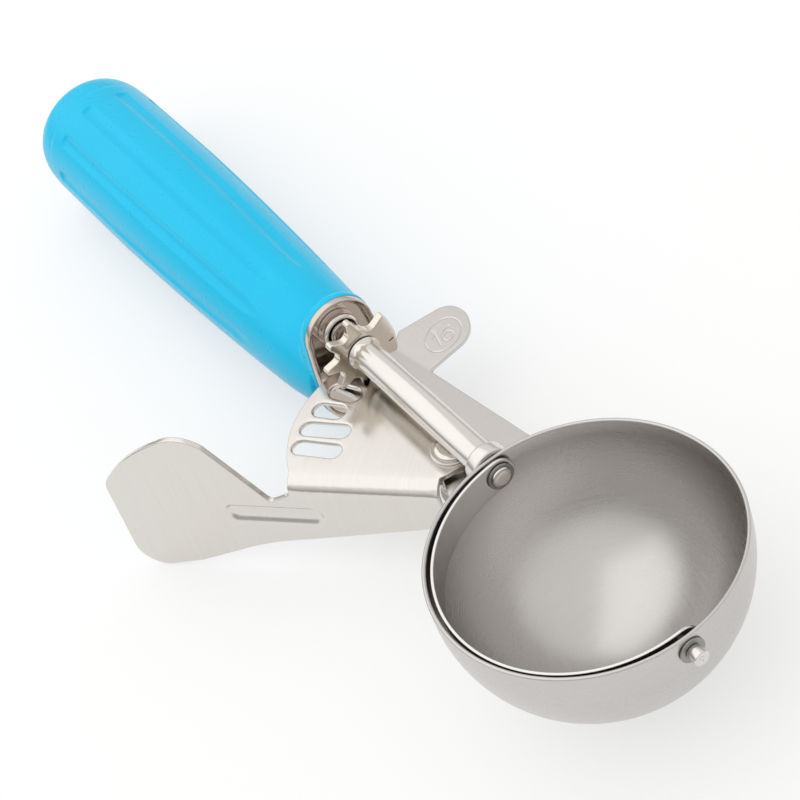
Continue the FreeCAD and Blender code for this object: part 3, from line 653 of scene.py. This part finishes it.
def fluted(back, angle):
    """Radius of the grip at an angle from the middle of the nearest flute, with eased edges."""
    plain, floor = grip_radius(back), flute_floor(back)
    (start, low), (finish, high) = FLUTE_CENTRE
    centre = low + (high - low) * (back - start) / (finish - start)
    cutter = centre - floor
    if cutter <= 0 or centre * math.sin(angle) >= cutter:
        return plain
    groove = centre * math.cos(angle) - math.sqrt(cutter ** 2 - (centre * math.sin(angle)) ** 2)
    share = max(0, min(1, 0.5 + 0.5 * (groove - plain) / FLUTE_BLEND))
    return groove + (plain - groove) * share - FLUTE_BLEND * share * (1 - share)


stations = [0, 0.1, 0.25, 0.5, FRONT_ROUND]
stations += [FRONT_ROUND + 0.9 * step for step in range(1, 111)]
stations += [100.2 + 0.2 * step for step in range(1, 27)]
stations += [105.8, 106.4, SHOULDER_PLACE, 107.1, SHOULDER_PLACE + SHOULDER_WIDTH]
CAP_START = 107.6
CAP_STEPS = 14
stations += [CAP_START + (GRIP_LENGTH - CAP_START) * math.sin(math.pi / 2 * step / CAP_STEPS)
             for step in range(CAP_STEPS + 1)]
grip = bmesh.new()
grip_loops = []
pitch = 2 * math.pi / FLUTES
for back in stations:
    loop = []
    for flute in range(FLUTES):
        for step in range(FLUTE_STEPS):
            aside = pitch * (step / FLUTE_STEPS - 0.5)
            radius = fluted(back, abs(aside))
            angle = FLUTE_PHASE + flute * pitch + aside
            loop.append(grip.verts.new(Vector((GRIP_FRONT - back, radius * math.sin(angle),
                                               GRIP_AXIS + radius * math.cos(angle))) * MM))
    grip_loops.append(loop)
skin_over(grip, grip_loops)
grip.faces.new(grip_loops[0])
grip.faces.new(grip_loops[-1])


def collar_loop(x, inset, blend):
    """The moulding's outline behind the cup, which settles into the round of the grip."""
    loop = []
    for spot in cup_outline(inset):
        away = Vector((spot.x, spot.y - GRIP_AXIS))
        round_spot = away.normalized() * (grip_radius(max(0, GRIP_FRONT - x)) - 0.15)
        away = away.lerp(round_spot, blend)
        loop.append(grip.verts.new(Vector((x, away.x, GRIP_AXIS + away.y)) * MM))
    return loop


collar_loops = [collar_loop(COLLAR_FRONT, 0.25, 0), collar_loop(COLLAR_FRONT, 0.02, 0),
                collar_loop(COLLAR_FRONT - 0.05, -0.08, 0), collar_loop(COLLAR_FRONT - 0.2, -0.14, 0),
                collar_loop(GRIP_FRONT - 0.01, -0.16, 0)]
COLLAR_STEPS = 12
for step in range(1, COLLAR_STEPS + 1):
    part = step / COLLAR_STEPS
    eased = part * part * (3 - 2 * part)
    collar_loops.append(collar_loop(GRIP_FRONT - COLLAR_LENGTH * part, -0.16, eased))
skin_over(grip, collar_loops)
grip_mesh = mesh_from(grip, "moulded_grip")

DEEP_BLUE = (0.002, 0.575, 0.91)
LIGHT_BLUE = (0.004, 0.62, 0.95)
grip_plastic = bpy.data.materials.new("sky blue plastic")
grip_plastic.use_nodes = True
nodes, links = grip_plastic.node_tree.nodes, grip_plastic.node_tree.links
shader = nodes["Principled BSDF"]
shader.inputs["IOR"].default_value = 1.49
shader.inputs["Specular IOR Level"].default_value = 0.28
place = nodes.new("ShaderNodeTexCoord").outputs["Object"]
flow = noise_over(nodes, links, place, 45.0, 2.0)
links.new(tinted(nodes, links, flow, DEEP_BLUE, LIGHT_BLUE), shader.inputs["Base Color"])
skin = noise_over(nodes, links, place, 420.0, 1.0)
links.new(spread(nodes, links, skin, 0.24, 0.34), shader.inputs["Roughness"])
links.new(uneven(nodes, links, skin, 0.02, 0.05 * MM), shader.inputs["Normal"])
piece_from("moulded_grip", grip_mesh, "frame", ["handle_grip"], grip_plastic)

# Tang pin
# A plain stainless pin is pressed through the plate's tang inside the grip. It locks the grip, and
# the plastic covers both its ends.
finish_node("tang_pin", bright_steel)

# Lever pivot
# The lever turns on a shouldered rivet through the plate, with a washer on each side of the sheet.
# The rivet goes on below as the post for the return spring, down to a washer and a peened tail.
PIVOT_X = -44.8
PIVOT = (PIVOT_X * MM, 0, 0)
STOP_PLACE = (-48.0 * MM, 9.4 * MM, 0)
RIVET_RADIUS = 2.2

turned_piece("pivot_rivet", "lever_pivot_rivet", "frame",
             [(-18.77, 0), (-18.77, 3.0), (-18.2, 3.5), (-17.87, 3.5), (-17.87, RIVET_RADIUS),
              (-6.45, RIVET_RADIUS), (-6.45, 3.5), (-6.1, 3.4), (-5.85, 2.6), (-5.85, 0)],
             0.3, bright_steel, axis="Z", centre=PIVOT)
for name, node, low, high, reach in (("upper_washer", "pivot_washer", -6.85, -6.45, 4.3),
                                     ("sheet_spacer", "pivot_spacer", -8.9, -8.15, 4.3),
                                     ("coil_washer", "spring_washer", -17.87, -17.48, 5.2)):
    turned_piece(name, node, "frame",
                 [(low, RIVET_RADIUS), (low, reach), (high, reach), (high, RIVET_RADIUS)],
                 0.12, tube_steel, axis="Z", centre=PIVOT)
turned_piece("stop_post", "spring_stop", "frame",
             [(-16.87, 0), (-16.87, 1.2), (-10.4, 1.2), (-10.4, 0)],
             0.3, bright_steel, 40, "Z", STOP_PLACE)

# Sweep shaft and its washer
# A ground stainless rod turns in the tube and in the bush. Its front end is stepped down, and it is
# peened over a thin washer and the blade's eyelet inside the bowl.
turned_piece("ground_shaft", "sweep_shaft", "sweep",
             [(-83.0, 0), (-83.0, 2.0), (-27.05, 2.0), (-27.05, 1.6), (-25.85, 1.6), (-25.85, 2.2),
              (-25.4, 2.1), (-25.15, 1.4), (-25.15, 0)], 0.2, bright_steel, 48)
# This washer shares the front washer's dark painted shade.
turned_piece("eyelet_washer", "blade_washer", "sweep",
             [(-26.25, 1.6), (-26.25, 2.7), (-25.85, 2.7), (-25.85, 1.6)],
             0.12, washer_steel_painted_shade, 48)

# Pinion
# Stamped from stainless sheet and pressed on the shaft. Five teeth face the lever, and the rest is
# a plain lobe with a short slit. The stamping leaves its edges rounded.
PINION_MIDDLE = -73.0
PINION_THICK = 1.8
TEETH = 5
TOOTH_PITCH = 40
FIRST_TOOTH = 14.44
TIP_RADIUS = 8.4
TIP_HALF = 3.8
ROOT_RADIUS = 5.7
ROOT_HALF = 12.7
SHAFT_RADIUS = 2.0
SLIT_HALF = 0.16
LOBE_SLIT = ((5.5, -1.25), (6.6, -1.05))


def pinion_spot(radius, angle):
    """A place on the pinion's face, at an angle from straight down towards the lever."""
    return Vector((-radius * math.sin(math.radians(angle)), -radius * math.cos(math.radians(angle))))


def soft_line(corners):
    """A closed line through corners (point, radius), each rounded to about its radius."""
    line = []
    count = len(corners)
    for index, (corner, radius) in enumerate(corners):
        before, after = corners[index - 1][0], corners[(index + 1) % count][0]
        near = min(radius, (before - corner).length / 2.1, (after - corner).length / 2.1)
        first = corner + (before - corner).normalized() * near
        last = corner + (after - corner).normalized() * near
        for step in range(6):
            part = step / 5
            line.append(first * (1 - part) ** 2 + corner * 2 * part * (1 - part) + last * part ** 2)
    return line


pinion_corners = []
for tooth in range(TEETH):
    middle = FIRST_TOOTH + TOOTH_PITCH * tooth
    pinion_corners += [(pinion_spot(ROOT_RADIUS, middle - ROOT_HALF), 1.2),
                       (pinion_spot(TIP_RADIUS, middle - TIP_HALF), 0.9),
                       (pinion_spot(TIP_RADIUS, middle + TIP_HALF), 0.9),
                       (pinion_spot(ROOT_RADIUS, middle + ROOT_HALF), 1.2)]
for radius, angle, soft in ((5.6, 196, 0.6), (4.8, 207, 0.8), (5.1, 221, 0.8), (8.2, 229, 0.8),
                            (8.0, 237, 0.8), (7.3, 255, 1.0), (7.3, 262, 1.0), (7.3, 270, 1.0),
                            (7.3, 278, 1.0), (7.3, 286, 1.0), (7.8, 297, 0.8), (7.8, 306, 0.8),
                            (5.7, 314, 0.8), (5.7, 322, 0.5), (5.7, 330, 0.5), (5.7, 338, 0.5),
                            (5.7, 346, 0.5)):
    pinion_corners.append((pinion_spot(radius, angle), soft))
pinion_steel = steel("stamped pinion", (0.74, 0.68, 0.60), 0.13, (200, 200, 200))


def pinion_shape(y, z, height):
    """Stands the blank upright across the shaft."""
    return Vector((PINION_MIDDLE + height, y, z))


slit_start, slit_end = Vector(LOBE_SLIT[0]), Vector(LOBE_SLIT[1])
slit_aside = Vector((slit_start - slit_end).normalized().yx) * SLIT_HALF
slit_aside.x = -slit_aside.x
slit = edge_line([tuple(slit_start - slit_aside), tuple(slit_end - slit_aside),
                  tuple(slit_end + slit_aside), tuple(slit_start + slit_aside)], 0.2)
pinion_mesh = pressed_sheet("stamped_pinion", soft_line(pinion_corners),
                            [ring_points((0, 0), (SHAFT_RADIUS, SHAFT_RADIUS), 32), slit],
                            PINION_THICK, pinion_shape, 1.2, 0.24, 0.05)
piece_from("stamped_pinion", pinion_mesh, "sweep", ["pinion"], pinion_steel)

# Sweep blade
# A half hoop of thin spring strip that scrapes the bowl's wall. It is rolled to shape, and each end
# has an eyelet, one for the shaft and one for the front pin.
BLADE_MIDDLE = 26.7
BLADE_THICK = 0.6
BLADE_HALF = 3.4
BLADE_TILT = math.radians(2)
SHAFT_EYELET = 1.6
PIN_EYELET = 1.05
quarter = math.pi / 2 * BLADE_MIDDLE
blade_border = edge_line([(-quarter, BLADE_HALF, BLADE_HALF + 0.001, 1), (-quarter, -BLADE_HALF),
                          (quarter, -BLADE_HALF, BLADE_HALF + 0.001, 1), (quarter, BLADE_HALF)], 0.7)


def blade_shape(along, up, height):
    """Strip rolled to a half hoop, with its ends left flat for the eyelets."""
    side = 1 if along > 0 else -1
    if abs(along) > quarter:
        spot = Vector((side * (BLADE_MIDDLE + height), abs(along) - quarter, up))
    else:
        angle = along / BLADE_MIDDLE
        spot = Vector(((BLADE_MIDDLE + height) * math.sin(angle),
                       -(BLADE_MIDDLE + height) * math.cos(angle), up))
    return Matrix.Rotation(BLADE_TILT, 3, "X") @ spot


blade_holes = [ring_points((-quarter, 0), (SHAFT_EYELET, SHAFT_EYELET), 28),
               ring_points((quarter, 0), (PIN_EYELET, PIN_EYELET), 24)]
blade_mesh = pressed_sheet("half_hoop", blade_border, blade_holes, BLADE_THICK, blade_shape, 1.3, 0.16)
blade_steel = steel("spring strip", (0.72, 0.71, 0.69), 0.17, (300, 300, 2500))
piece_from("half_hoop", blade_mesh, "sweep", ["sweep_blade"], blade_steel)

# Thumb lever
# Blanked from 1.2 mm sheet and bent once along the fan's edge. The fan's slots are coined round
# their borders, and a rib is pressed into the arm where it widens to the thumb pad.
LEVER_ANGLE = 219.3
LEVER_TURN = math.radians(LEVER_ANGLE)
LEVER_MIDDLE = -7.5
LEVER_THICK = 1.2
FOLD_START = 0.5
FOLD_LINE = 7.3
FOLD_MIDDLE = 2.6
FOLD_LENGTH = FOLD_MIDDLE * math.pi / 2
FOLD_FINISH = 34.9
ARM_START = FOLD_LINE + FOLD_LENGTH
ARM_TOP = -10.1
RIB_HALF = 2.7
RIB_ENDS = ((28.1, -16.4), (44.1, -16.4))
RIB_RISE = -0.75
RIB_STEEP = 0.5
RIB_GENTLE = 2.4


def on_arm(along, height):
    """Place on the flat blank for a point of the arm, from its height in the finished part."""
    return (along, ARM_START + ARM_TOP - height)


def lever_shape(along, across, height):
    """Bends the blank at the fold, presses the rib in, and turns the lever to its place."""
    if across <= FOLD_LINE and along < FOLD_FINISH:
        spot = Vector((along, across, LEVER_MIDDLE + height))
    elif across < ARM_START and along < FOLD_FINISH:
        angle = (across - FOLD_LINE) / FOLD_MIDDLE
        reach = FOLD_MIDDLE + height
        spot = Vector((along, FOLD_LINE + reach * math.sin(angle), ARM_TOP + reach * math.cos(angle)))
    else:
        level = ARM_TOP - (across - ARM_START)
        away = from_stroke(Vector((along, level)), Vector(RIB_ENDS[0]), Vector(RIB_ENDS[1]))
        below = 0.5 - 0.5 * (level - RIB_ENDS[0][1]) / max(away, abs(level - RIB_ENDS[0][1]), 0.01)
        part = max(0, min(1, (RIB_HALF - away) / (RIB_STEEP + (RIB_GENTLE - RIB_STEEP) * below)))
        rise = RIB_RISE * part * part * (3 - 2 * part)
        spot = Vector((along, FOLD_LINE + FOLD_MIDDLE + height + rise, level))
    return Matrix.Rotation(LEVER_TURN, 3, "Z") @ spot + Vector((PIVOT_X, 0, 0))


lever_border = edge_line([
    (FOLD_START, FOLD_LINE), on_arm(FOLD_START, -17.4), on_arm(31.1, -23.2) + (60, 1), on_arm(43.9, -26.3),
    on_arm(56.9, -31.6), on_arm(64.9, -33.4) + (5.6, -1), on_arm(70.9, -28.0),
    on_arm(70.5, -11.1) + (5, -1), on_arm(68.9, -7.3) + (38, -1), on_arm(54.6, 3.4) + (7.8, -1),
    on_arm(45.2, 2.4), on_arm(36.1, -11.7) + (0.8, 1), on_arm(35.0, -12.0), on_arm(31.1, -10.1),
    (31.1, FOLD_LINE, 23.6, -1), (24.48, -23.66), (-2.84, -5.04, 5.79, -1), (-5.5, 1.8),
], 0.7)
GEARING = 4.1
FIRST_SLOT = 12.4
SLOT_RING = 28.2
SLOT_HALF = 1.8
SLOT_OUT = 4.4
SLOT_PITCH = TOOTH_PITCH / GEARING
PIVOT_HOLE = 2.25
lever_holes = [ring_points((0, 0), (PIVOT_HOLE, PIVOT_HOLE), 32)]
for number, (lean, inwards) in enumerate(((12, 0.8), (12, 0.8), (10, 0.8), (4.4, 4.3), (-7.7, 4.3))):
    around = math.radians(FIRST_SLOT + (number - 1) * SLOT_PITCH + 180 - LEVER_ANGLE)
    heading = around + math.radians(lean)
    centre = Vector((math.cos(around), math.sin(around))) * SLOT_RING
    ahead = Vector((math.cos(heading), math.sin(heading)))
    aside = Vector((-ahead.y, ahead.x)) * SLOT_HALF
    inner, outer = centre - ahead * inwards, centre + ahead * (SLOT_OUT - SLOT_HALF)
    lever_holes.append(edge_line([tuple(inner - aside), (*(outer - aside), SLOT_HALF + 0.001, 1),
                                  tuple(outer + aside), (*(inner + aside), SLOT_HALF + 0.001, 1)], 0.35))
BEND_ROWS = 12
BEND_COLUMNS = 30
BEND_SPACING = 1.02
RIB_MARGIN = 3.1
RIB_ROWS = 26
RIB_COLUMNS = 75
bend_points = [(FOLD_START + BEND_SPACING * step, FOLD_LINE + FOLD_LENGTH * row / BEND_ROWS)
               for row in range(BEND_ROWS + 1) for step in range(BEND_COLUMNS + 1)]
rib_points = [(RIB_ENDS[0][0] - RIB_MARGIN + 0.3 * step,
               on_arm(0, RIB_ENDS[0][1] - RIB_MARGIN + 0.25 * row)[1])
              for row in range(RIB_ROWS) for step in range(RIB_COLUMNS)]
lever_mesh = pressed_sheet("bent_lever", lever_border, lever_holes, LEVER_THICK, lever_shape, 1.8, 0.26,
                           0.42, extra=bend_points + rib_points, near=0.15)
lever_steel = steel("brushed lever", (0.72, 0.69, 0.65), 0.17, (2400, 50, 50), grain=0.03, turn=LEVER_TURN,
                    relief_depth=0.025)
piece_from("bent_lever", lever_mesh, "lever", ["thumb_lever"], lever_steel)

# Return spring
# Torsion spring of 1 mm hard drawn wire, wound round the pivot post under the plate. Its top leg
# pushes on the arm and its lower leg stays on the post, so the turns wind up between them.
WIRE_RADIUS = 0.5
COIL_RADIUS = 4.2
COIL_PITCH = 1.5
COIL_TURNS = 3.25
COIL_TOP = -11.2
COIL_STEPS = 117
LEVER_LEG = 17
STOP_LEG = 10
LEG_LEAN = 15.9
FIRST_ANGLE = math.radians(LEVER_ANGLE + 90 + LEG_LEAN)
CLIMB = math.atan2(COIL_PITCH, 2 * math.pi * COIL_RADIUS)


def on_coil(turn):
    """A point of the wire's centre, and its heading there, after so many turns."""
    angle = FIRST_ANGLE + turn * 2 * math.pi
    spot = Vector((PIVOT_X + COIL_RADIUS * math.cos(angle), COIL_RADIUS * math.sin(angle),
                   COIL_TOP - turn * COIL_PITCH))
    heading = Vector((-math.sin(angle) * math.cos(CLIMB), math.cos(angle) * math.cos(CLIMB),
                      -math.sin(CLIMB)))
    return spot, heading


top_spot, top_heading = on_coil(0)
low_spot, low_heading = on_coil(COIL_TURNS)
route = [top_spot - top_heading * (LEVER_LEG - step * LEVER_LEG / 6) for step in range(6)]
route += [on_coil(COIL_TURNS * step / COIL_STEPS)[0] for step in range(COIL_STEPS + 1)]
route += [low_spot + low_heading * (step * STOP_LEG / 4) for step in range(1, 5)]


def wire_mesh(name, route, radius, sides=14):
    """A round wire along the route, with its cut ends eased."""
    ends = [(0, 0.0), (0, 0.75), (0.12, 0.95)]
    first_way = (route[1] - route[0]).normalized()
    last_way = (route[-1] - route[-2]).normalized()
    stations = [(route[0] + first_way * along * radius, share) for along, share in ends]
    stations += [(route[0] + first_way * radius * 0.4, 1)] + [(spot, 1) for spot in route[1:-1]]
    stations += [(route[-1] - last_way * radius * 0.4, 1)]
    stations += [(route[-1] - last_way * along * radius, share) for along, share in reversed(ends)]
    made = bmesh.new()
    side = first_way.orthogonal().normalized()
    rows = []
    for index, (spot, share) in enumerate(stations):
        back, fore = stations[max(index - 1, 0)][0], stations[min(index + 1, len(stations) - 1)][0]
        way = fore - back if (fore - back).length > 1e-9 else last_way
        side = (side - way * side.dot(way) / way.length_squared).normalized()
        other = way.cross(side).normalized()
        rows.append([made.verts.new((spot + (side * math.cos(2 * math.pi * part / sides)
                                             + other * math.sin(2 * math.pi * part / sides))
                                     * radius * share) * MM) for part in range(sides)])
    skin_over(made, rows)
    bmesh.ops.remove_doubles(made, verts=made.verts, dist=1e-8)
    return mesh_from(made, name)


spring_steel = steel("drawn spring wire", (0.60, 0.59, 0.57), 0.2, (400, 400, 400))
spring = bpy.data.objects.new("wound_spring", wire_mesh("wound_spring", route, WIRE_RADIUS))
bpy.context.scene.collection.objects.link(spring)
spring.data.materials.append(spring_steel)
for face in spring.data.polygons:
    face.use_smooth = True
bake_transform(spring)
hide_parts("return_spring")

# Table
# A pale matt table. The scoop rests on the bowl, on the corner of its thumb pad and on the grip's
# back end, and the table is the plane through those three places.
REST_POINTS = [Vector((0, 0, -28.5)) * MM, Vector((-89.2, -49.4, -33.4)) * MM,
               Vector((-190, 0, -26.5)) * MM]
TABLE_SIZE = 6
TABLE_GAP = 0.4 * MM

table_up = (REST_POINTS[1] - REST_POINTS[0]).cross(REST_POINTS[2] - REST_POINTS[0]).normalized()
if table_up.z < 0:
    table_up = -table_up
bpy.ops.mesh.primitive_plane_add(size=TABLE_SIZE)
table = bpy.context.object
table.name = "table"
table.rotation_mode = "QUATERNION"
table.rotation_quaternion = table_up.to_track_quat("Z", "Y")
table.location = REST_POINTS[0] - table_up * TABLE_GAP


def seen_directly(nodes, links):
    """1 for what the eye meets, straight or by way of metal or glass, and 0 for the light it gives."""
    path = nodes.new("ShaderNodeLightPath")
    seen = path.outputs["Is Camera Ray"]
    for ray in ("Is Glossy Ray", "Is Transmission Ray"):
        either = nodes.new("ShaderNodeMath")
        either.operation = "MAXIMUM"
        links.new(seen, either.inputs[0])
        links.new(path.outputs[ray], either.inputs[1])
        seen = either.outputs["Value"]
    return seen


TABLE_WHITE = 0.53
pale = bpy.data.materials.new("pale table")
pale.use_nodes = True
nodes, links = pale.node_tree.nodes, pale.node_tree.links
shader = nodes["Principled BSDF"]
shader.inputs["Roughness"].default_value = 0.9
shader.inputs["Specular IOR Level"].default_value = 0.0
shader.inputs["Base Color"].default_value = (0.5, 0.5, 0.5, 1)
shader.inputs["Emission Color"].default_value = (1, 1, 1, 1)
links.new(spread(nodes, links, seen_directly(nodes, links), 0.0, TABLE_WHITE),
          shader.inputs["Emission Strength"])
table.data.materials.append(pale)

# Studio light
# Even light from all round, and one large window high above the grip on the lever's side. What
# metal mirrors of the studio is darker low down and paler overhead.
ROOM_LEVEL = 0.8
WALL_LOW = 0.42
WALL_HIGH = 0.94
WINDOW_PLACE = Vector((-0.42, -0.405, 0.72))
WINDOW_AIM = Vector((-0.06, 0, 0))
WINDOW_SIZE = 1.6
WINDOW_WATTS = 3.2

world = bpy.data.worlds.new("studio")
bpy.context.scene.world = world
world.use_nodes = True
nodes, links = world.node_tree.nodes, world.node_tree.links
backdrop = nodes["Background"]
backdrop.inputs["Color"].default_value = (1.0, 0.995, 0.985, 1)
direction = nodes.new("ShaderNodeTexCoord")
upwards = nodes.new("ShaderNodeSeparateXYZ")
links.new(direction.outputs["Generated"], upwards.inputs["Vector"])
level = nodes.new("ShaderNodeMix")
level.inputs["A"].default_value = ROOM_LEVEL
links.new(seen_directly(nodes, links), level.inputs["Factor"])
links.new(spread(nodes, links, upwards.outputs["Z"], WALL_LOW, WALL_HIGH, 0.02, 0.5), level.inputs["B"])
links.new(level.outputs["Result"], backdrop.inputs["Strength"])

lamp = bpy.data.lights.new("window", "AREA")
lamp.shape = "RECTANGLE"
lamp.size = WINDOW_SIZE
lamp.size_y = WINDOW_SIZE
lamp.energy = WINDOW_WATTS
window = bpy.data.objects.new("window", lamp)
bpy.context.scene.collection.objects.link(window)
window.location = WINDOW_PLACE
window.rotation_mode = "QUATERNION"
window.rotation_quaternion = (WINDOW_AIM - WINDOW_PLACE).to_track_quat("-Z", "Y")

# Camera
# It looks down on the scoop from beyond the bowl, from a little under half a metre away. The grip
# points away to the upper left, and the whole tool fills the square picture.
CAMERA_PLACE = Vector((250.00, -102.94, 308.07)) * MM
CAMERA_RIGHT = Vector((0.53637, 0.79902, -0.27179))
CAMERA_DOWN = Vector((0.49070, -0.55725, -0.66984))
CAMERA_AHEAD = Vector((-0.68667, 0.22591, -0.69097))
LENS = 108.0

camera = bpy.data.cameras.new("camera")
camera.lens = LENS
camera.sensor_width = 36.0
camera.clip_start = 0.01
viewpoint = bpy.data.objects.new("camera", camera)
bpy.context.scene.collection.objects.link(viewpoint)
columns = Matrix((CAMERA_RIGHT, -CAMERA_DOWN, -CAMERA_AHEAD)).transposed()
viewpoint.matrix_world = Matrix.Translation(CAMERA_PLACE) @ columns.to_4x4()
bpy.context.scene.camera = viewpoint
bpy.context.scene.view_settings.view_transform = "Standard"
